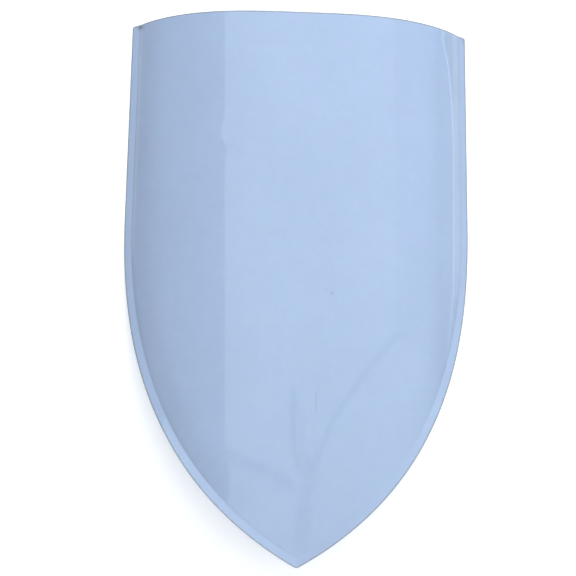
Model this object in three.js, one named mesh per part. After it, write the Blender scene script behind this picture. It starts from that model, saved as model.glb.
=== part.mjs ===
// A heater shield, bent from one sheet of painted steel and lying face up.
// Millimetres. +X is to the right of someone who looks at the face with its top edge up,
// +Y runs towards the top edge and +Z comes out of the face. The origin is on the ground,
// below the middle of the shield's outline.
//
// The sheet is laid out flat first, as the smith cuts it: "girth" is the distance from the
// centre line measured round the bend, and "down" is the distance below the top edge.
// Then it is bent along straight lines that run parallel to its centre line.
import * as THREE from "three";

// The sheet
const sheetThickness = 1.6;

// The outline, laid out flat
const heightToPoint = 821; // from the top edge to where the two sides would meet
const halfGirth = 283; // from the centre line to the straight part of a side
const straightSide = 315; // how far each side runs straight down from its top corner
const shoulderEasing = 1.04; // the shoulder's radius, as a share of the plain arc's
const shoulderShare = 0.59; // the shoulder's turn, as a share of the plain arc's
const tipRadius = 8; // the point is blunt
const cornerRadius = 3; // the two top corners

// The bend across the shield
const flatHalfWidth = 25; // the strip along the centre line stays flat
const sideSlope = THREE.MathUtils.degToRad(48); // how steeply the sheet falls at its sides
const bendGrowth = 1.65; // above 1 the bend gathers towards the sides
const stripsPerSide = 15; // flat strips between the bend lines of one side

// The rim, turned out towards the front along both sides
const rimWidth = 12;
const rimFlare = THREE.MathUtils.degToRad(22);

// How finely the outline is cut
const longestCurveStep = 24;
const longestStraightStep = 64;
const roundSteps = 3; // on the tip and on each corner

// Paint
const paint = new THREE.MeshStandardMaterial({
  color: new THREE.Color().setRGB(0.68, 0.78, 0.91, THREE.SRGBColorSpace),
  roughness: 0.35,
  metalness: 0,
});

// One plain arc would run from the end of a side's straight part to the centre line, at
// heightToPoint. The real side is two arcs near it: a shoulder that is a little flatter,
// and a lower arc that leaves it in line with it and meets the other side at that point.
const curveDrop = heightToPoint - straightSide;
const shoulderRadius = (shoulderEasing * (halfGirth ** 2 + curveDrop ** 2)) / (2 * halfGirth);
const shoulderTurn = shoulderShare * 2 * Math.atan2(halfGirth, curveDrop);
const shoulderCentre = { girth: halfGirth - shoulderRadius, down: straightSide };
const shoulderEnd = {
  girth: shoulderCentre.girth + shoulderRadius * Math.cos(shoulderTurn),
  down: shoulderCentre.down + shoulderRadius * Math.sin(shoulderTurn),
};
const lowerDrop = heightToPoint - shoulderEnd.down;
const pointTurn = 2 * Math.atan2(shoulderEnd.girth, lowerDrop) - shoulderTurn;
const lowerRadius = lowerDrop / (Math.sin(pointTurn) - Math.sin(shoulderTurn));
const lowerCentre = {
  girth: shoulderEnd.girth - lowerRadius * Math.cos(shoulderTurn),
  down: shoulderEnd.down - lowerRadius * Math.sin(shoulderTurn),
};

// The point of the right-hand side where it has turned by an angle, moved in from the edge.
function sidePoint(turn, inset) {
  const onShoulder = turn <= shoulderTurn;
  const centre = onShoulder ? shoulderCentre : lowerCentre;
  const radius = (onShoulder ? shoulderRadius : lowerRadius) - inset;
  return { girth: centre.girth + radius * Math.cos(turn), down: centre.down + radius * Math.sin(turn) };
}

// How far a side has turned where the line at this inset crosses a girth.
function turnAtGirth(girth, inset) {
  const endOfShoulder = sidePoint(shoulderTurn, inset).girth;
  const onShoulder = girth >= endOfShoulder;
  const centre = onShoulder ? shoulderCentre : lowerCentre;
  const radius = (onShoulder ? shoulderRadius : lowerRadius) - inset;
  return Math.acos(THREE.MathUtils.clamp((girth - centre.girth) / radius, -1, 1));
}

// The tip is an arc inside both lower arcs, with its centre on the centre line.
const tipCentreDown =
  lowerCentre.down + Math.sqrt((lowerRadius - tipRadius) ** 2 - lowerCentre.girth ** 2);
const tipStartTurn = Math.atan2(tipCentreDown - lowerCentre.down, -lowerCentre.girth);
const bottomDown = tipCentreDown + tipRadius;

// The bend lines of one side, from the flat strip out to the edge, with the cross-section's
// corner at each. A corner's way out is the mitre of the two strips that meet there.
const stripWidth = (halfGirth - flatHalfWidth) / stripsPerSide;
const stripSlopes = Array.from(
  { length: stripsPerSide },
  (_, k) => sideSlope * ((k + 0.5) / stripsPerSide) ** bendGrowth,
);
const bendLines = [];
const corner = { x: flatHalfWidth, z: 0 };
for (let k = 0; k <= stripsPerSide; k++) {
  const before = k === 0 ? 0 : stripSlopes[k - 1];
  const after = k === stripsPerSide ? before : stripSlopes[k];
  const middle = (before + after) / 2;
  const mitre = 1 / Math.cos((after - before) / 2);
  bendLines.push({
    girth: flatHalfWidth + k * stripWidth,
    x: corner.x,
    z: corner.z,
    outX: Math.sin(middle) * mitre,
    outZ: Math.cos(middle) * mitre,
  });
  corner.x += stripWidth * Math.cos(after);
  corner.z -= stripWidth * Math.sin(after);
}

// Where a point of the flat sheet, raised from its front by some height, lies once bent.
function bend(girth, down, height) {
  const side = Math.sign(girth);
  const out = Math.abs(girth);
  if (out <= flatHalfWidth) {
    // The flat strip ends on its mitre at any height.
    const edge = bendLines[0];
    return [(girth / flatHalfWidth) * (edge.x + edge.outX * height), -down, edge.outZ * height];
  }
  const k = Math.min(Math.floor((out - flatHalfWidth) / stripWidth), stripsPerSide - 1);
  const [near, far] = [bendLines[k], bendLines[k + 1]];
  const share = (out - near.girth) / stripWidth;
  const x = THREE.MathUtils.lerp(near.x + near.outX * height, far.x + far.outX * height, share);
  const z = THREE.MathUtils.lerp(near.z + near.outZ * height, far.z + far.outZ * height, share);
  return [side * x, -down, z];
}

// The rim rises evenly from its bend, which is rimWidth from the edge, to the edge.
function rimRise(inset) {
  return Math.max(rimWidth - inset, 0) * Math.tan(rimFlare);
}

const steepThickness = sheetThickness / Math.cos(rimFlare); // the rim's, measured as rimRise is

// The sheet's points, each with a front and a back.
const points = [];
function addPoint(girth, down, inset) {
  const rise = rimRise(inset);
  const through = rise > 0 ? steepThickness : sheetThickness;
  points.push({ front: bend(girth, down, rise), back: bend(girth, down, rise - through) });
  return { girth, index: points.length - 1 };
}

// Rows across the sheet, from its top edge down to where the two rims meet. Each ends at the
// rim's bend on both sides, and a row ends on each bend line, so that strips stay flat.
const turns = [0];
for (let k = stripsPerSide; k >= 0; k--) {
  const girth = bendLines[k].girth;
  if (girth >= halfGirth - rimWidth) continue;
  const turn = turnAtGirth(girth, rimWidth);
  const from = turns[turns.length - 1];
  const length = (turn - from) * (from < shoulderTurn ? shoulderRadius : lowerRadius);
  const steps = Math.ceil(length / longestCurveStep);
  for (let step = 1; step <= steps; step++) turns.push(from + ((turn - from) * step) / steps);
}

const rows = [];
const closest = 0.01; // a bend line nearer than this to a row's end is its end
function addRow(down, end, edge) {
  const inside = bendLines.map((line) => line.girth).filter((girth) => girth < end - closest);
  const across = [end, ...inside.reverse()];
  const field = [...across.map((girth) => -girth), ...across.reverse()].map((girth) =>
    addPoint(girth, down, rimWidth),
  );
  rows.push({
    field,
    left: addPoint(-edge.girth, edge.down, 0),
    right: addPoint(edge.girth, edge.down, 0),
  });
}

const straightRows = Math.ceil(straightSide / longestStraightStep);
for (let r = 0; r < straightRows; r++) {
  const down = (straightSide * r) / straightRows;
  // The top row's edge points start below the rounded corners.
  addRow(down, halfGirth - rimWidth, { girth: halfGirth, down: r === 0 ? cornerRadius : down });
}
for (const turn of turns) {
  const inner = sidePoint(turn, rimWidth);
  addRow(inner.down, inner.girth, sidePoint(turn, 0));
}

// Where the two rims meet, one point on the centre line ends the rows.
const meetTurn = turnAtGirth(0, rimWidth);
const meetPoint = addPoint(0, sidePoint(meetTurn, rimWidth).down, rimWidth);
const meetEdge = sidePoint(meetTurn, 0);
rows.push({
  field: [meetPoint],
  left: addPoint(-meetEdge.girth, meetEdge.down, 0),
  right: addPoint(meetEdge.girth, meetEdge.down, 0),
});

// The blunt tip, from the right-hand side round to the left.
const tip = [];
for (let step = 0; step <= 2 * roundSteps; step++) {
  const across = (step - roundSteps) / roundSteps;
  const turn = Math.PI / 2 + across * (Math.PI / 2 - tipStartTurn);
  const girth = tipRadius * Math.cos(turn);
  const down = tipCentreDown + tipRadius * Math.sin(turn);
  const fromCentre = Math.hypot(Math.abs(girth) - lowerCentre.girth, down - lowerCentre.down);
  tip.push(addPoint(girth, down, lowerRadius - fromCentre));
}

// The two rounded top corners, each from the side up to the top edge.
function topCorner(side) {
  const arc = [];
  for (let step = 1; step <= roundSteps; step++) {
    const turn = (Math.PI / 2) * (step / roundSteps);
    const inset = cornerRadius * (1 - Math.cos(turn));
    arc.push(addPoint(side * (halfGirth - inset), cornerRadius * (1 - Math.sin(turn)), inset));
  }
  return arc;
}
const rightCorner = topCorner(1);
const leftCorner = topCorner(-1);

// Triangles of the front, each anticlockwise as the face is looked at.
const triangles = [];
function addTriangle(...corners) {
  triangles.push(corners.map((point) => point.index));
}

// The sheet between two rows, joined in the order of their points' girth.
function joinRows(upper, lower) {
  let i = 0;
  let j = 0;
  while (i < upper.length - 1 || j < lower.length - 1) {
    const upperNext = i < upper.length - 1 ? upper[i + 1].girth : Infinity;
    const lowerNext = j < lower.length - 1 ? lower[j + 1].girth : Infinity;
    if (upperNext <= lowerNext) {
      addTriangle(upper[i], lower[j], upper[i + 1]);
      i += 1;
    } else {
      addTriangle(upper[i], lower[j], lower[j + 1]);
      j += 1;
    }
  }
}

for (let r = 0; r < rows.length - 1; r++) {
  const [upper, lower] = [rows[r], rows[r + 1]];
  joinRows(upper.field, lower.field);
  const [upperRight, lowerRight] = [upper.field.at(-1), lower.field.at(-1)];
  addTriangle(upperRight, lowerRight, lower.right);
  addTriangle(upperRight, lower.right, upper.right);
  const [upperLeft, lowerLeft] = [upper.field[0], lower.field[0]];
  addTriangle(upperLeft, lower.left, lowerLeft);
  addTriangle(upperLeft, upper.left, lower.left);
}

// Fans fill the tip and the two corners of the rim.
function addFan(hub, rimPoints) {
  for (let k = 0; k < rimPoints.length - 1; k++) addTriangle(hub, rimPoints[k], rimPoints[k + 1]);
}
const lastRow = rows.at(-1);
const topRow = rows[0];
addFan(meetPoint, [lastRow.left, ...[...tip].reverse(), lastRow.right]);
addFan(topRow.field.at(-1), [topRow.right, ...rightCorner]);
addFan(topRow.field[0], [...[...leftCorner].reverse(), topRow.left]);

// The edge of the sheet, anticlockwise from the bottom of the right-hand side.
const edgeLoop = [
  ...[...rows].reverse().map((row) => row.right),
  ...rightCorner,
  ...[...topRow.field].reverse(),
  ...[...leftCorner].reverse(),
  ...rows.map((row) => row.left),
  ...[...tip].reverse(),
].map((point) => point.index);

// One closed surface: the front, the back with its triangles turned round, and the edge.
const backStart = points.length;
const indices = [];
for (const [a, b, c] of triangles) {
  indices.push(a, b, c);
  indices.push(backStart + a, backStart + c, backStart + b);
}
for (let k = 0; k < edgeLoop.length; k++) {
  const [here, next] = [edgeLoop[k], edgeLoop[(k + 1) % edgeLoop.length]];
  indices.push(here, backStart + here, backStart + next);
  indices.push(here, backStart + next, next);
}

// The shield rests on its two straight rims, with its outline centred on the origin.
const places = [...points.map((point) => point.front), ...points.map((point) => point.back)];
const lowest = Math.min(...places.map((place) => place[2]));
const geometry = new THREE.BufferGeometry();
geometry.setAttribute("position", new THREE.Float32BufferAttribute(places.flat(), 3));
geometry.setIndex(indices);
geometry.translate(0, bottomDown / 2, -lowest);
geometry.computeVertexNormals();

const shieldShell = new THREE.Mesh(geometry, paint);
shieldShell.name = "shield_shell";

const shield = new THREE.Group();
shield.add(shieldShell);

export default shield;
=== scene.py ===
import math

import bmesh
import bpy
import numpy as np
from mathutils import Matrix, Vector, noise


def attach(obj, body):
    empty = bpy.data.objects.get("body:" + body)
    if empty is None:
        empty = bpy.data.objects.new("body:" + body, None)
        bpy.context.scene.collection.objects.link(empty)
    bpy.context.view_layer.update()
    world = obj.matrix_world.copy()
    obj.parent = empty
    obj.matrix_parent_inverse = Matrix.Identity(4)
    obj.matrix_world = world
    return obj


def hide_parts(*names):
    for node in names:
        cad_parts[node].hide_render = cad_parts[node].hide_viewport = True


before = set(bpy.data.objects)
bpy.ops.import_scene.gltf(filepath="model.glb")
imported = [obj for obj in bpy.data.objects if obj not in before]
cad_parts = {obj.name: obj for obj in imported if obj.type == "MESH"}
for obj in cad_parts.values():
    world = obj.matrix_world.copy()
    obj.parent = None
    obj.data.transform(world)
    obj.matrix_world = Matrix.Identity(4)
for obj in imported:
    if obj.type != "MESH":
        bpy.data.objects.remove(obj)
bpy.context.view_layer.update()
print("frame loaded:", ", ".join(sorted(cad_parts)))

# The shield is one sheet of steel. It is cut flat and then bent. Girth is the distance from
# its centre line measured round the bend, down is the distance below its top edge.
# Lengths are in metres and angles in degrees.
sheet = {
    "thickness": 0.0016,
    "heightToPoint": 0.821,     # to where the two sides would meet
    "halfGirth": 0.283,
    "straightSide": 0.315,
    "shoulderEasing": 1.04,     # the shoulder's radius, against one plain arc to the point
    "shoulderShare": 0.59,      # the shoulder's turn, against that arc's
    "tipRadius": 0.008,
    "cornerRadius": 0.003,
    "edgeRadius": 0.0005,       # the cut edges are eased, front and back
    "rimWidth": 0.012,
    "rimFlare": 22,
    "rimSoftness": 0.0006,      # how soft the rim's bend is
    "rimValley": 0.0015,        # and how soft the valley where the two rims meet at the point
    "rimTrim": 0.0012,          # the rims' top corners are filed down this much
    "trimReach": 0.02,          # fading out this far down
    "cell": 0.0035,             # how far apart the mesh's lines are
    "bandDepth": 0.0195,        # they follow the edge this far in, and crowd there as below
    "topSteps": [0.0012, 0.0021, 0.0034, 0.0055],
    "bandSteps": [1.4, 2.8, 4.2, 5.6, 7, 8.4, 9.6, 10.5, 11.2, 11.8, 12.4, 13, 13.8, 15,
                  17],          # in millimetres
}
bend = {    # the inputs of the node tree that bends it
    "Half Girth": sheet["halfGirth"],
    "Flat Half Width": 0.025,
    "Side Slope": 48.0,
    "Bend Growth": 1.65,        # above 1 the bend gathers towards the sides
    "Section Steps": 566,       # half a millimetre each
}

# The marks, the ridge and the waves are in millimetres. Paths are girth and down. A depth
# below zero is a rise, and tone is how much darker the colour is made there. At the corner
# nick and the top-right corner that tone is painted shade, and at the ridge's end it is a painted
# highlight.
marks = {
    "topSmudge": {"path": [(-60, 49), (-8, 49)], "width": 5, "depth": 0.04, "tone": 0.02},
    "sideSmudge": {"path": [(-112, 214), (-92, 221)], "width": 7, "depth": 0.03, "tone": 0.035},
    "sideDent": {"path": [(-106, 186), (-106, 196)], "width": 11, "depth": 0.40, "tone": 0},
    "lowDent": {"path": [(-124, 214), (-123, 222)], "width": 10, "depth": 0.16, "tone": 0},
    # the nick at the top-left corner: its tone is a painted shadow in the nick
    "cornerNickShadow": {"path": [(-271, 4), (-266, 5)], "width": 4, "depth": 0.25, "tone": 0.48},
    # the top-right corner: its tone is painted shade along the eased corner's edge
    "cornerEdgeShade": {"path": [(276, 3.4), (280, 5), (280.5, 9)], "width": 2.6, "depth": 0,
                   "tone": 0.16},
    # the ridge's end at the top: its tone is a painted highlight
    "ridgeEndHighlight": {"path": [(236, 3), (235, 10)], "width": 2.4, "depth": -0.05, "tone": -0.06},
}
ridge = {
    "path": [(232, -6), (231, 22), (241, 46), (245, 73), (249, 105), (252, 145), (253.4, 210),
             (251.5, 306), (249.4, 415), (246.7, 431), (238, 493), (232, 540)],
    "width": 1.5,
    "height": 0.20,
    "apronReach": 8,
    "apronRise": 0.10,          # and painted shade beside it, between the ridge and the edge
    "tones": (-0.20, -0.16),    # a painted highlight on the crest, near the top and further down
    "apronShades": (0.075, 0.03),        # and the paint beside it is duller
    "toneDowns": (40, 190),
    "fadeFrom": 420,            # it dies out between these two, measured down
    "fadeTo": 545,
    "meshSteps": [-4, -2.6, -1.7, -1.1, -0.55, 0, 0.55, 1.1, 1.7, 2.6, 4],
    "meshClear": 5.5,           # the mesh's even lines keep this far from the crest
}
waves = {   # the sheet's unevenness
    "sizes": [(85, 0.05), (38, 0.018)],     # length and height
    "settle": 0.06,                         # the face sits this much lower
    "edgeReach": 60,                        # both fade out over this far at the sides
}


def layOutline():   # the curves of the right-hand side, down to the blunt point
    half, straight = sheet["halfGirth"], sheet["straightSide"]
    drop = sheet["heightToPoint"] - straight
    radius = sheet["shoulderEasing"] * (half**2 + drop**2) / (2 * half)
    turn = sheet["shoulderShare"] * 2 * math.atan2(half, drop)
    shoulder = {"girth": half - radius, "down": straight, "radius": radius}
    endGirth = shoulder["girth"] + radius * math.cos(turn)
    endDown = shoulder["down"] + radius * math.sin(turn)
    rest = sheet["heightToPoint"] - endDown
    pointTurn = 2 * math.atan2(endGirth, rest) - turn
    lowerRadius = rest / (math.sin(pointTurn) - math.sin(turn))
    lower = {"girth": endGirth - lowerRadius * math.cos(turn),
             "down": endDown - lowerRadius * math.sin(turn), "radius": lowerRadius}
    toTip = lowerRadius - sheet["tipRadius"]
    tipDown = lower["down"] + math.sqrt(toTip**2 - lower["girth"] ** 2)
    tip = {"girth": 0.0, "down": tipDown, "radius": sheet["tipRadius"]}
    tipTurn = math.atan2(tipDown - lower["down"], -lower["girth"])
    shoulder.update({"from": 0.0, "to": turn})
    lower.update({"from": turn, "to": tipTurn})
    tip.update({"from": tipTurn, "to": math.pi / 2})
    return {"shoulder": shoulder, "lower": lower, "tip": tip,
            "bottom": tipDown + sheet["tipRadius"]}


outline = layOutline()


def rimInset(girth, down):  # how far a point is in from the side, were the point not blunt
    shoulder, lower = outline["shoulder"], outline["lower"]
    out = np.abs(girth)
    straight = sheet["halfGirth"] - out
    fromShoulder = np.hypot(out - shoulder["girth"], down - shoulder["down"])
    fromLower = np.hypot(out - lower["girth"], down - lower["down"])
    turn = np.arctan2(down - shoulder["down"], out - shoulder["girth"])
    curved = np.where(turn <= shoulder["to"], shoulder["radius"] - fromShoulder,
                      lower["radius"] - fromLower)
    return np.where(down <= sheet["straightSide"], straight, curved)


def easedSteps():   # steps across an eased edge, closer together where it is steep
    return [share * sheet["edgeRadius"] for share in (0, 0.14, 0.5, 1)]


def sideStations():     # where the mesh's rows leave the right-hand side, and their reach in
    downs = easedSteps() + sheet["topSteps"]
    count = math.ceil((sheet["straightSide"] - downs[-1]) / sheet["cell"])
    downs += list(np.linspace(downs[-1], sheet["straightSide"], count + 1)[1:])
    stations = [(sheet["halfGirth"], down, 0.0, math.inf) for down in downs]
    for arc in (outline["shoulder"], outline["lower"], outline["tip"]):
        span = arc["to"] - arc["from"]
        steps = max(6, math.ceil(span * arc["radius"] / sheet["cell"]))
        for step in range(1, steps + 1):
            turn = arc["from"] + span * step / steps
            girth = arc["girth"] + arc["radius"] * math.cos(turn)
            down = arc["down"] + arc["radius"] * math.sin(turn)
            reach = arc["radius"] if arc is outline["tip"] else girth / math.cos(turn)
            stations.append((girth, down, turn, reach))
    return stations


def roundCorner(inset, down):   # bends the mesh's square corner into the round one
    radius = sheet["cornerRadius"]
    if inset >= radius or down >= radius:
        return inset, down, min(inset, down)
    u, v = 1 - inset / radius, 1 - down / radius
    x, y = u * math.sqrt(1 - v * v / 2), v * math.sqrt(1 - u * u / 2)
    return radius * (1 - x), radius * (1 - y), radius * (1 - math.hypot(x, y))


def smoothPath(path):   # cuts a path's corners three times
    points = [np.array(p, float) for p in path]
    for _ in range(3):
        cut = [points[0]]
        for a, b in zip(points, points[1:]):
            cut += [a * 0.75 + b * 0.25, a * 0.25 + b * 0.75]
        points = cut + [points[-1]]
    return points


ridgeLine = smoothPath(ridge["path"])


def ridgeGirth(down):   # both in millimetres
    return np.interp(down, [p[1] for p in ridgeLine], [p[0] for p in ridgeLine])


def pathDistance(path, girth, down):
    nearest = np.full(len(girth), 1e9)
    for a, b in zip(path, path[1:]):
        way = b - a
        share = ((girth - a[0]) * way[0] + (down - a[1]) * way[1]) / (way @ way)
        share = np.clip(share, 0, 1)
        gap = np.hypot(girth - a[0] - share * way[0], down - a[1] - share * way[1])
        nearest = np.minimum(nearest, gap)
    return nearest


def sheetRelief(girth, down):   # height out of the even sheet in metres, and tone
    g, d = girth * 1000, down * 1000
    height, tone = np.full(len(g), -waves["settle"]), np.zeros(len(g))
    for length, rise in waves["sizes"]:
        places = (Vector((x / length, y / length, length)) for x, y in zip(g, d))
        height += rise * np.array([noise.noise(place) for place in places])
    height *= np.clip((sheet["halfGirth"] * 1000 - np.abs(g)) / waves["edgeReach"], 0, 1)
    for mark in marks.values():
        pull = np.exp(-((pathDistance(smoothPath(mark["path"]), g, d) / mark["width"]) ** 2))
        height -= mark["depth"] * pull
        tone += mark["tone"] * pull
    aside = g - ridgeGirth(d)
    fade = np.clip((ridge["fadeTo"] - d) / (ridge["fadeTo"] - ridge["fadeFrom"]), 0, 1)
    crest = np.exp(-((aside / ridge["width"]) ** 2)) * fade
    apron = np.clip(aside / ridge["apronReach"], 0, 1)
    apron = apron * apron * (3 - 2 * apron) * fade
    height += ridge["height"] * crest + ridge["apronRise"] * apron
    # painted highlight along the ridge's crest, and painted shade on the sheet between it and the
    # edge
    tone += np.interp(d, ridge["toneDowns"], ridge["tones"]) * crest
    tone += np.interp(d, ridge["toneDowns"], ridge["apronShades"]) * apron
    return height / 1000, tone


def rimRise(girth, down):   # how far the turned-out rim stands up, and how steeply
    soft = sheet["rimSoftness"]
    across = np.hypot(girth, sheet["rimValley"])
    push = np.clip((sheet["rimWidth"] - rimInset(across, down)) / soft, -40, 40)    # for exp
    slope = math.tan(math.radians(sheet["rimFlare"]))
    return slope * soft * np.logaddexp(0, push), slope / (1 + np.exp(-push))


def cutSheet():     # one face of the flat sheet: points, their gap to the edge, faces, border
    levels = easedSteps() + [x / 1000 for x in sheet["bandSteps"]] + [sheet["bandDepth"]]
    besideRidge = np.array(ridge["meshSteps"]) / 1000
    count = int(sheet["halfGirth"] / sheet["cell"])
    evenColumns = np.arange(-count, count + 1) * sheet["cell"]
    points, gaps, faces = [], [], []

    def put(girth, down, gap):
        points.append((girth, down))
        gaps.append(gap)
        return len(points) - 1

    def columns(down, end):     # mesh lines run down the sheet and crowd beside the ridge
        found = evenColumns
        if down * 1000 < ridge["fadeTo"]:
            crest = ridgeGirth(down * 1000) / 1000
            even = found[np.abs(found - crest) > ridge["meshClear"] / 1000]
            found = np.concatenate([even, crest + besideRidge])
        return np.sort(found[np.abs(found) < end - sheet["cell"] * 0.3])

    rows = []
    for girth, down, turn, reach in sideStations():
        depth = min(sheet["bandDepth"], reach)
        left, right = [], []
        for level in levels:
            inset = level
            if level > sheet["edgeRadius"]:
                inset = level * depth / sheet["bandDepth"]
            x, y, gap = girth - math.cos(turn) * inset, down - math.sin(turn) * inset, inset
            if turn == 0:
                inset, y, gap = roundCorner(inset, down)
                x = sheet["halfGirth"] - inset
            right.append(put(x, y, gap))
            left.append(put(-x, y, gap))
        innerGirth, innerDown = points[right[-1]]
        field = []
        if reach > sheet["bandDepth"]:
            gap = min(innerDown, sheet["bandDepth"])
            field = [put(g, innerDown, gap) for g in columns(innerDown, innerGirth)]
        rows.append({"left": left, "right": right, "field": [left[-1], *field, right[-1]]})

    for upper, lower in zip(rows, rows[1:]):
        for a in range(len(levels) - 1):
            b = a + 1
            faces.append((upper["left"][a], lower["left"][a],
                          lower["left"][b], upper["left"][b]))
            faces.append((upper["right"][b], lower["right"][b],
                          lower["right"][a], upper["right"][a]))
        top, bottom = upper["field"], lower["field"]
        i = j = 0
        while i < len(top) - 1 or j < len(bottom) - 1:
            nextTop = points[top[i + 1]][0] if i < len(top) - 1 else math.inf
            nextBottom = points[bottom[j + 1]][0] if j < len(bottom) - 1 else math.inf
            if abs(nextTop - nextBottom) < sheet["cell"] * 0.1:
                faces.append((top[i], bottom[j], bottom[j + 1], top[i + 1]))
                i, j = i + 1, j + 1
            elif nextTop < nextBottom:
                faces.append((top[i], bottom[j], top[i + 1]))
                i += 1
            else:
                faces.append((top[i], bottom[j], bottom[j + 1]))
                j += 1

    first = rows[0]
    border = [row["left"][0] for row in rows] + [row["right"][0] for row in rows[-2::-1]]
    border += first["right"][1:] + first["field"][-2:0:-1] + first["left"][:0:-1]
    return np.array(points), np.array(gaps), faces, border


def makeBlank():    # the flat sheet with its rim turned out and its marks, as a closed mesh
    points, gaps, faces, border = cutSheet()
    girth, down = points.T
    relief, tone = sheetRelief(girth, down)
    rise, steepness = rimRise(girth, down)
    inward = np.clip(sheet["edgeRadius"] - gaps, 0, None)
    drop = sheet["edgeRadius"] - np.sqrt(sheet["edgeRadius"] ** 2 - inward**2)
    through = sheet["thickness"] * np.sqrt(1 + steepness**2)
    filed = np.clip(1 - rimInset(girth, down) / sheet["rimWidth"], 0, 1)
    filed *= np.clip(1 - down / sheet["trimReach"], 0, 1)
    along = outline["bottom"] / 2 - down - sheet["rimTrim"] * filed
    front = np.stack([girth, along, rise + relief - drop], axis=1)
    back = np.stack([girth, along, rise + relief - through + drop], axis=1)
    count = len(points)
    allFaces = faces + [tuple(count + v for v in reversed(face)) for face in faces]
    for here, after in zip(border, border[1:] + border[:1]):
        allFaces.append((here, count + here, count + after, after))

    mesh = bpy.data.meshes.new("blank")
    mesh.from_pydata(np.vstack([front, back]).tolist(), [], allFaces)
    values = {
        "edgeGap": np.tile(gaps, 2),
        "rimInset": np.tile(rimInset(girth, down), 2),
        "tone": np.concatenate([tone, np.zeros(count)]),
        "face": np.repeat([1.0, 0.0], count),
    }
    for name, numbers in values.items():
        data = mesh.attributes.new(name, "FLOAT", "POINT").data
        data.foreach_set("value", numbers.astype(np.float32))
    work = bmesh.new()
    work.from_mesh(mesh)
    bmesh.ops.remove_doubles(work, verts=work.verts, dist=2e-6)
    work.to_mesh(mesh)
    work.free()
    blank = bpy.data.objects.new("shieldShell", mesh)
    bpy.context.scene.collection.objects.link(blank)
    print("flat sheet:", len(mesh.vertices), "points,", len(mesh.polygons), "faces")
    return blank


def addNode(tree, kind, settings=None, **inputs):   # an input is named, or numbered as _0
    node = tree.nodes.new(kind)
    for name, value in (settings or {}).items():
        setattr(node, name, value)
    for name, value in inputs.items():
        key = int(name[1:]) if name[1:].isdigit() else name.replace("_", " ")
        socket = node.inputs[key]
        if isinstance(value, bpy.types.NodeSocket):
            tree.links.new(value, socket)
        else:
            socket.default_value = value
    return node


def sums(tree, operation, *values):     # one Math node, and its result
    given = {"_" + str(i): value for i, value in enumerate(values)}
    return addNode(tree, "ShaderNodeMath", {"operation": operation}, **given).outputs[0]


def vectors(tree, operation, *values):  # the same with vectors
    given = {"_" + str(i): value for i, value in enumerate(values)}
    node = addNode(tree, "ShaderNodeVectorMath", {"operation": operation}, **given)
    return node.outputs["Value" if operation in ("LENGTH", "DISTANCE") else "Vector"]


def ramp(tree, value, low, high, atLow, atHigh):    # a soft step from one number to another
    return addNode(tree, "ShaderNodeMapRange", {"interpolation_type": "SMOOTHSTEP"},
                   Value=value, From_Min=low, From_Max=high, To_Min=atLow,
                   To_Max=atHigh).outputs[0]


def mixColours(tree, share, first, second):
    return addNode(tree, "ShaderNodeMix", {"data_type": "RGBA"}, _0=share, _6=first,
                   _7=second).outputs[2]


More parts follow.
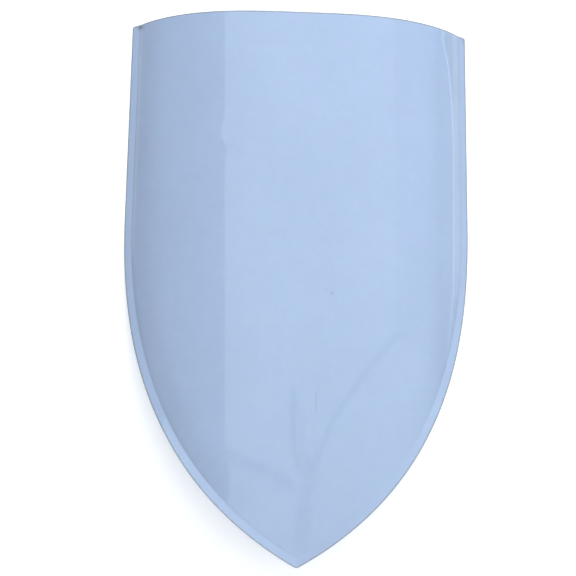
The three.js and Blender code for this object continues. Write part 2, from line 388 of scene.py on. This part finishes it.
def bendTree():     # bends the blank across the shield, along a section drawn in the tree
    tree = bpy.data.node_groups.new("bendSheet", "GeometryNodeTree")
    face = tree.interface
    face.new_socket("Geometry", in_out="INPUT", socket_type="NodeSocketGeometry")
    for name in bend:
        kind = "NodeSocketInt" if name == "Section Steps" else "NodeSocketFloat"
        face.new_socket(name, in_out="INPUT", socket_type=kind)
    face.new_socket("Paint", in_out="INPUT", socket_type="NodeSocketMaterial")
    face.new_socket("Geometry", in_out="OUTPUT", socket_type="NodeSocketGeometry")
    given = tree.nodes.new("NodeGroupInput").outputs
    result = tree.nodes.new("NodeGroupOutput")

    # the section: equal steps, each turned by the slope at its middle
    step = sums(tree, "DIVIDE", given["Half Girth"], given["Section Steps"])
    index = addNode(tree, "GeometryNodeInputIndex").outputs[0]
    middle = sums(tree, "MULTIPLY", sums(tree, "ADD", index, 0.5), step)
    curvedWidth = sums(tree, "SUBTRACT", given["Half Girth"], given["Flat Half Width"])
    past = sums(tree, "MAXIMUM", sums(tree, "SUBTRACT", middle, given["Flat Half Width"]), 0.0)
    share = sums(tree, "POWER", sums(tree, "DIVIDE", past, curvedWidth), given["Bend Growth"])
    slope = sums(tree, "MULTIPLY", share, sums(tree, "RADIANS", given["Side Slope"]))
    way = addNode(tree, "ShaderNodeCombineXYZ", X=sums(tree, "COSINE", slope),
                  Z=sums(tree, "MULTIPLY", sums(tree, "SINE", slope), -1.0)).outputs[0]
    move = addNode(tree, "ShaderNodeVectorMath", {"operation": "SCALE"}, _0=way,
                   Scale=step).outputs[0]
    adding = {"data_type": "FLOAT_VECTOR", "domain": "POINT"}
    places = addNode(tree, "GeometryNodeAccumulateField", adding, Value=move).outputs["Trailing"]
    count = sums(tree, "ADD", given["Section Steps"], 1.0)
    line = addNode(tree, "GeometryNodeMeshLine", Count=count, Offset=(0.0, 0.0, 0.0)).outputs[0]
    drawn = addNode(tree, "GeometryNodeSetPosition", Geometry=line, Position=places).outputs[0]
    section = addNode(tree, "GeometryNodeMeshToCurve", Mesh=drawn).outputs[0]

    # every point of the blank goes to its girth on the section, raised by its own height
    spot = addNode(tree, "GeometryNodeInputPosition").outputs[0]
    flat = addNode(tree, "ShaderNodeSeparateXYZ", Vector=spot).outputs
    out = sums(tree, "ABSOLUTE", flat["X"])
    side = sums(tree, "SIGN", flat["X"])
    sample = addNode(tree, "GeometryNodeSampleCurve", {"mode": "LENGTH", "use_all_curves": True},
                     Curves=section, Length=out).outputs
    place = addNode(tree, "ShaderNodeSeparateXYZ", Vector=sample["Position"]).outputs
    lean = addNode(tree, "ShaderNodeSeparateXYZ", Vector=sample["Tangent"]).outputs
    x = sums(tree, "SUBTRACT", place["X"], sums(tree, "MULTIPLY", lean["Z"], flat["Z"]))
    z = sums(tree, "ADD", place["Z"], sums(tree, "MULTIPLY", lean["X"], flat["Z"]))
    bentSpot = addNode(tree, "ShaderNodeCombineXYZ", X=sums(tree, "MULTIPLY", x, side),
                       Y=flat["Y"], Z=z).outputs[0]
    bent = addNode(tree, "GeometryNodeSetPosition", Geometry=given["Geometry"],
                   Position=bentSpot).outputs[0]
    smooth = addNode(tree, "GeometryNodeSetShadeSmooth", Geometry=bent).outputs[0]
    real = addNode(tree, "GeometryNodeRealizeInstances", Geometry=smooth).outputs[0]
    painted = addNode(tree, "GeometryNodeSetMaterial", Geometry=real,
                      Material=given["Paint"]).outputs[0]
    tree.links.new(painted, result.inputs[0])
    return tree


def bendSheet(blank, paint):
    tree = bendTree()
    modifier = blank.modifiers.new("bend", "NODES")
    modifier.node_group = tree
    names = {item.name: item.identifier for item in tree.interface.items_tree
             if item.in_out == "INPUT"}
    for name, value in bend.items():
        modifier[names[name]] = value
    modifier[names["Paint"]] = paint
    bpy.context.view_layer.update()
    evaluated = blank.evaluated_get(bpy.context.evaluated_depsgraph_get())
    mesh = bpy.data.meshes.new_from_object(evaluated)
    blank.modifiers.clear()
    old = blank.data
    blank.data = mesh
    bpy.data.meshes.remove(old)
    lowest = min(v.co.z for v in mesh.vertices)
    mesh.transform(Matrix.Translation((0, 0, -lowest)))     # it rests on its two rims
    mesh.name = "shieldShell"
    print("bent sheet: lift", round(-lowest * 1000, 3), "mm,", len(mesh.polygons), "faces")
    return blank


# Paint: pale blue, brushed on and a little uneven, with painted shade in the crease inside the
# rim and beside it, and grey along the cut edges that is part bare metal, part painted shade.
# Lengths are in metres but for the spots and the scratch, which are in millimetres. Tones
# are how much darker the colour is made.
paintLook = {
    "blue": (0.414, 0.525, 0.758),
    "cooler": (0.406, 0.530, 0.752),
    # the grey at the cut edges is partly bare metal and partly painted shade of the eased edge
    "edgeGreyWearAndShade": (0.27, 0.30, 0.34),
    "patterns": {"cloud": (9, 3), "blotch": (70, 3), "fine": (620, 2), "blend": (26, 4),
                 "chips": (260, 3), "brush": (340, 2)},     # scale and detail
    "unevenness": {"cloud": 0.014, "blotch": 0.009, "fine": 0.016},
    "creaseShadeTone": 0.06,         # painted shade in the crease inside the rim
    "creaseFrom": 0.0007,       # its middle, measured in from the rim
    "creaseReach": 0.0028,
    "creaseShares": (0.3, 1.2),         # its share near the point, and all down the left
    "creaseTurn": (-0.03, 0.01),        # along X, from the left's share to the other
    "sideShadeTone": 0.05,           # painted shade beside the rim
    "sideEasing": 0.001,
    "sideReach": (0.010, 0.055),
    "closeShare": 0.5,          # and by this much more close to it
    "closeReach": (0.003, 0.010),
    "leftShare": 1.7,           # times this on the left
    "leftReach": (-0.2, 0.0),
    "pointShare": 0.15,         # and times this near the point
    "pointReach": (-0.34, -0.24),       # along Y
    "pointLean": -0.4,          # further up on the right
    "edgeGreyReach": (0.0010, 0.0029),   # the grey thins out between these distances from the edge
    "edgeGreyDepth": 0.82,
    "edgeGreyRagged": 0.0004,
    "roughness": 0.46,
    "roughnessSpread": 0.05,
    "wearRoughness": 0.2,       # rougher by this where the grey shows
    "brushDepth": 0.3,          # shares of the bump
    "fineDepth": 0.12,
    "markDepth": 6.0,
    "bumpStrength": 0.35,
    "bumpDistance": 0.00004,
    "glossRoughness": 0.05,
    "spots": [(46.8, 432.4, 4.4, 0.15), (39, 429.5, 4.6, 0.05), (-45, 242.7, 2.4, 0.10),
              (-40, 270, 2.2, 0.08), (-34, 455, 2.2, 0.08), (-23.6, 384, 2.0, 0.08),
              (-40.6, 738, 2.0, 0.07)],     # girth, down, size and tone
    "scratch": (25.3, 576, 606, 0.9, 0.17),     # girth, from, to, width and tone
}


def makePaint():
    look = paintLook
    paint = bpy.data.materials.new("paleBluePaint")
    paint.use_nodes = True
    tree = paint.node_tree
    shader = next(node for node in tree.nodes if node.type == "BSDF_PRINCIPLED")
    place = addNode(tree, "ShaderNodeTexCoord").outputs["Object"]

    def grain(name):
        scale, detail = look["patterns"][name]
        return addNode(tree, "ShaderNodeTexNoise", Vector=place, Scale=scale,
                       Detail=detail).outputs["Fac"]

    def attribute(name):
        return addNode(tree, "ShaderNodeAttribute", {"attribute_name": name}).outputs["Fac"]

    def around(pattern, low, high):     # a pattern as a number between these
        return ramp(tree, pattern, 0.3, 0.7, low, high)

    def markTone(away, size, tone):     # dark in the middle, gone at the size
        return ramp(tree, away, 0.2 * size / 1000, size / 1000, tone, 0.0)

    # painted shade in the crease inside the rim, and painted shade on the sheet beside it
    front = attribute("face")
    patterns = {name: grain(name) for name in look["unevenness"]}
    inside = sums(tree, "SUBTRACT", attribute("rimInset"), sheet["rimWidth"])
    fromCrease = sums(tree, "ABSOLUTE", sums(tree, "SUBTRACT", inside, look["creaseFrom"]))
    crease = ramp(tree, fromCrease, 0.0, look["creaseReach"], look["creaseShadeTone"], 0.0)
    nearRim = sums(tree, "ADD", ramp(tree, inside, *look["sideReach"], 1.0, 0.0),
                   ramp(tree, inside, *look["closeReach"], look["closeShare"], 0.0))
    rimSideShade = ramp(tree, inside, 0.0, look["sideEasing"], 0.0, look["sideShadeTone"])
    rimSideShade = sums(tree, "MULTIPLY", rimSideShade, nearRim)
    where = addNode(tree, "ShaderNodeSeparateXYZ", Vector=place).outputs
    towardsTop = sums(tree, "MULTIPLY_ADD", where["X"], look["pointLean"], where["Y"])
    fadeIn = ramp(tree, towardsTop, *look["pointReach"], look["pointShare"], 1.0)
    rimSideShade = sums(tree, "MULTIPLY", rimSideShade, fadeIn)
    # the painted shade is stronger on the left, the side turned from the light
    more = ramp(tree, where["X"], *look["leftReach"], look["leftShare"], 1.0)
    rimSideShade = sums(tree, "MULTIPLY", rimSideShade, more)
    least, most = look["creaseShares"]
    clear = sums(tree, "MAXIMUM", ramp(tree, towardsTop, *look["pointReach"], least, 1.0),
                 ramp(tree, where["X"], *look["creaseTurn"], most, least))
    crease = sums(tree, "MULTIPLY", crease, clear)
    tones = sums(tree, "ADD", attribute("tone"), sums(tree, "ADD", crease, rimSideShade))
    for name, depth in look["unevenness"].items():
        tones = sums(tree, "ADD", tones, around(patterns[name], -depth, depth))

    # the spots and the scratch, on the front only
    flat = vectors(tree, "MULTIPLY", place, (1.0, 1.0, 0.0))
    top = outline["bottom"] / 2
    marksOnly = 0.0
    for girth, down, size, tone in look["spots"]:
        away = vectors(tree, "DISTANCE", flat, (girth / 1000, top - down / 1000, 0.0))
        marksOnly = sums(tree, "ADD", marksOnly, markTone(away, size, tone))
    girth, start, end, width, tone = look["scratch"]
    centre = (girth / 1000, top - (start + end) / 2000, 0.0)
    offset = vectors(tree, "ABSOLUTE", vectors(tree, "SUBTRACT", flat, centre))
    offset = vectors(tree, "SUBTRACT", offset, (0.0, (end - start) / 2000, 0.0))
    away = vectors(tree, "LENGTH", vectors(tree, "MAXIMUM", offset, (0.0, 0.0, 0.0)))
    marksOnly = sums(tree, "ADD", marksOnly, markTone(away, width, tone))
    marksOnly = sums(tree, "MULTIPLY", marksOnly, front)
    tones = sums(tree, "ADD", tones, marksOnly)

    # the two blues, darkened by the tones, and grey at the cut edges: bare metal and painted
    # shade of the eased edge
    share = ramp(tree, grain("blend"), 0.35, 0.65, 0.0, 1.0)
    blend = mixColours(tree, share, (*look["blue"], 1), (*look["cooler"], 1))
    light = sums(tree, "SUBTRACT", 1.0, tones)
    lit = addNode(tree, "ShaderNodeVectorMath", {"operation": "SCALE"}, _0=blend,
                  Scale=light).outputs[0]
    shift = around(grain("chips"), -look["edgeGreyRagged"], look["edgeGreyRagged"])
    ragged = sums(tree, "ADD", attribute("edgeGap"), shift)
    edgeWearAndShade = ramp(tree, ragged, *look["edgeGreyReach"], look["edgeGreyDepth"], 0.0)
    colour = mixColours(tree, edgeWearAndShade, lit, (*look["edgeGreyWearAndShade"], 1))
    tree.links.new(colour, shader.inputs["Base Color"])

    spread = look["roughnessSpread"]
    rough = around(patterns["blotch"], look["roughness"] - spread, look["roughness"] + spread)
    rough = sums(tree, "ADD", rough, sums(tree, "MULTIPLY", edgeWearAndShade, look["wearRoughness"]))
    tree.links.new(rough, shader.inputs["Roughness"])
    height = sums(tree, "ADD", sums(tree, "MULTIPLY", grain("brush"), look["brushDepth"]),
                  sums(tree, "MULTIPLY", patterns["fine"], look["fineDepth"]))
    height = sums(tree, "SUBTRACT", height, sums(tree, "MULTIPLY", marksOnly, look["markDepth"]))
    bump = addNode(tree, "ShaderNodeBump", Height=height, Strength=look["bumpStrength"],
                   Distance=look["bumpDistance"]).outputs[0]
    tree.links.new(bump, shader.inputs["Normal"])
    shader.inputs["Metallic"].default_value = 0.0
    shader.inputs["Specular IOR Level"].default_value = 0.25
    shader.inputs["Coat Weight"].default_value = 1.0
    shader.inputs["Coat Roughness"].default_value = look["glossRoughness"]
    shader.inputs["Coat IOR"].default_value = 1.5
    return paint


shieldShell = bendSheet(makeBlank(), makePaint())
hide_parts("shield_shell")
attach(shieldShell, "root")

# The room: a pale floor, and soft panels overhead, whose edges and strips show in the gloss.
room = {
    "floorReach": 9.0,
    "floorShades": (0.93, 0.50),        # how pale it is near the shield, a painted pool of light, and far off
    "floorGlow": 0.32,                  # and how much it shines near the shield
    "floorFade": (0.65, 1.6),           # both fade out between these distances
    "floorRoughness": 0.9,
    "panelHeight": 2.3,
    "panelLight": (1.725, 1.875, 1.975),
    "rightFade": (1.4, 9.0, 0.20),      # along X: from, to and the share left there
    "footFade": (0.6, -0.9, 0.81),      # and along Y
    "topLight": {   # lower and beyond the top edge, so the foot is the darker end
        "corners": [(-0.8, 1.25), (0.8, 1.25), (0.8, 2.05), (-0.8, 2.05)],
        "height": 1.2,
        "share": 0.95,
    },
    "lowLight": (0.28, 0.28, 0.28),     # the room away from the panels, low down
    "highLight": (0.60, 0.59, 0.58),    # and high up
    "highBand": (0.1, 0.6),             # from one to the other, by the ray's Z
    "rightLight": (0.62, 0.57, 0.47),   # and on the right, where it is open to the day
    "rightBand": (0.35, 0.85),          # by the ray's X
    "panels": {     # corners, and how bright
        "main": ([(-0.945, 1.70), (-0.663, -0.26), (-0.574, -0.33), (-0.55, -1.10), (1.71, -1.10),
                  (1.71, 1.70)], 1.0),
        "right": ([(1.71, 0.225), (9.0, 0.50), (12.0, 6.0), (2.2, 6.0), (1.71, 1.70)], 0.74),
        "lowRight": ([(1.71, -1.10), (9.0, -1.10), (9.0, 0.50), (1.71, 0.225)], 1.0),
    },
    "strips": {     # dimmer strips of cloth below the panels: how bright, and places along each
                    # with its width there, in millimetres
        "right": (0.50, [(2300, 290, 34), (1917, 236, 36), (1620, 195, 38), (1266, 118, 40),
                         (1000, 72, 42), (769, 4, 42), (591, -56, 40), (428, -117, 36),
                         (311, -177, 34), (247, -236, 32), (212, -290, 32), (184, -346, 34),
                         (166, -420, 40)]),
        "left": (0.48, [(-760, -268, 46), (-592, -292, 56), (-445, -303, 58), (-313, -317, 56),
                        (-196, -327, 52), (-96, -336, 48), (-12, -351, 44), (60, -371, 40),
                        (122, -404, 36)]),
        "stem": (0.62, [(168, -400, 44), (160, -447, 50), (157, -518, 56), (154, -589, 58),
                        (153, -660, 60)]),
        "thin": (0.20, [(118, -24, 10), (115, -50, 20), (113, -84, 25), (113, -143, 25),
                        (117, -201, 22), (121, -260, 20), (130, -300, 18), (148, -345, 16)]),
        "short": (0.20, [(146, -110, 6), (153, -201, 11), (158, -259, 12), (164, -320, 11)]),
    },
    "stripDrop": 0.02,          # how far below the panels they hang
}


def makeGlow(name, strength):   # a panel's light, fading to the right and to the foot
    glow = bpy.data.materials.new(name)
    glow.use_nodes = True
    tree = glow.node_tree
    tree.nodes.clear()
    place = addNode(tree, "ShaderNodeTexCoord").outputs["Object"]
    along = addNode(tree, "ShaderNodeSeparateXYZ", Vector=place).outputs
    faded = strength
    for axis, (start, end, share) in (("X", room["rightFade"]), ("Y", room["footFade"])):
        faded = sums(tree, "MULTIPLY", faded, ramp(tree, along[axis], start, end, 1.0, share))
    shine = addNode(tree, "ShaderNodeEmission", Color=(*room["panelLight"], 1), Strength=faded)
    finish = tree.nodes.new("ShaderNodeOutputMaterial")
    tree.links.new(shine.outputs[0], finish.inputs["Surface"])
    return glow


def makeFlatPiece(name, corners, height, material, faces=None):
    mesh = bpy.data.meshes.new(name)
    faces = faces or [tuple(range(len(corners)))]
    mesh.from_pydata([(x, y, height) for x, y in corners], [], faces)
    mesh.materials.append(material)
    piece = bpy.data.objects.new(name, mesh)
    bpy.context.scene.collection.objects.link(piece)


def makeStrip(name, places, height, material):  # a flat band along a line of places
    line = np.array(places) / 1000
    way = np.gradient(line[:, :2], axis=0)
    across = np.stack([-way[:, 1], way[:, 0]], axis=1) / np.linalg.norm(way, axis=1)[:, None]
    half = across * line[:, 2:] / 2
    count = len(line)
    faces = [(i, i + 1, count + i + 1, count + i) for i in range(count - 1)]
    corners = np.vstack([line[:, :2] + half, line[:, :2] - half]).tolist()
    makeFlatPiece(name, corners, height, material, faces)


def setRoom():
    floorPaint = bpy.data.materials.new("paleFloor")
    floorPaint.use_nodes = True
    shader = next(n for n in floorPaint.node_tree.nodes if n.type == "BSDF_PRINCIPLED")
    shader.inputs["Roughness"].default_value = room["floorRoughness"]
    shader.inputs["Specular IOR Level"].default_value = 0.1
    shader.inputs["Emission Color"].default_value = (1, 1, 1, 1)
    tree = floorPaint.node_tree
    place = addNode(tree, "ShaderNodeTexCoord").outputs["Object"]
    away = vectors(tree, "LENGTH", place)
    # paler near the shield and darker far off: a painted pool of light on the floor, where it
    # also glows
    pale = ramp(tree, away, *room["floorFade"], 1.0, 0.0)
    light, dark = room["floorShades"]
    shade = sums(tree, "MULTIPLY_ADD", pale, light - dark, dark)
    tree.links.new(shade, shader.inputs["Base Color"])
    glow = sums(tree, "MULTIPLY", pale, room["floorGlow"])
    tree.links.new(glow, shader.inputs["Emission Strength"])
    far = room["floorReach"]
    makeFlatPiece("floor", [(-far, -far), (far, -far), (far, far), (-far, far)], 0.0, floorPaint)
    light = room["topLight"]
    glow = makeGlow("topGlow", light["share"])
    makeFlatPiece("topPanel", light["corners"], light["height"], glow)
    for name, (corners, strength) in room["panels"].items():
        glow = makeGlow(name + "Glow", strength)
        makeFlatPiece(name + "Panel", corners, room["panelHeight"], glow)
    for name, (strength, places) in room["strips"].items():
        glow = makeGlow(name + "StripGlow", strength)
        makeStrip(name + "Strip", places, room["panelHeight"] - room["stripDrop"], glow)
    world = bpy.data.worlds.new("studio")
    world.use_nodes = True
    tree = world.node_tree
    background = next(n for n in tree.nodes if n.type == "BACKGROUND")
    ray = addNode(tree, "ShaderNodeTexCoord").outputs["Generated"]
    way = addNode(tree, "ShaderNodeSeparateXYZ", Vector=ray).outputs
    high = ramp(tree, way["Z"], *room["highBand"], 0.0, 1.0)
    right = ramp(tree, way["X"], *room["rightBand"], 0.0, 1.0)
    sky = mixColours(tree, high, (*room["lowLight"], 1), (*room["highLight"], 1))
    sky = mixColours(tree, right, sky, (*room["rightLight"], 1))
    tree.links.new(sky, background.inputs["Color"])
    bpy.context.scene.world = world
    print("room set")


# The camera looks down on the lying shield as the photo looks at its face.
view = {
    "yaw": 2.78, "pitch": -9.08, "roll": -0.85,     # how the shield is turned to the camera
    "aside": 0.0173, "up": 0.0162, "distance": 1.4,
    "crown": 0.07517,           # height of the face at the centre line
    "focalPixels": 961, "imagePixels": 576,
}


def setCamera():
    turned = (Matrix.Rotation(math.radians(view["roll"]), 3, "Z")
              @ Matrix.Rotation(math.radians(view["pitch"]), 3, "X")
              @ Matrix.Rotation(math.radians(view["yaw"]), 3, "Y"))
    back = turned.transposed()
    place = back @ Vector((-view["aside"], -view["up"], view["distance"]))
    place.z += view["crown"]
    lens = bpy.data.cameras.new("photoView")
    lens.sensor_width = 36.0
    lens.lens = view["focalPixels"] / view["imagePixels"] * lens.sensor_width
    lens.clip_start, lens.clip_end = 0.05, 60.0
    camera = bpy.data.objects.new("photoView", lens)
    bpy.context.scene.collection.objects.link(camera)
    camera.matrix_world = Matrix.Translation(place) @ back.to_4x4()
    bpy.context.scene.camera = camera
    bpy.context.scene.view_settings.view_transform = "Standard"
    print("camera set at", [round(c, 3) for c in place])


setRoom()
setCamera()
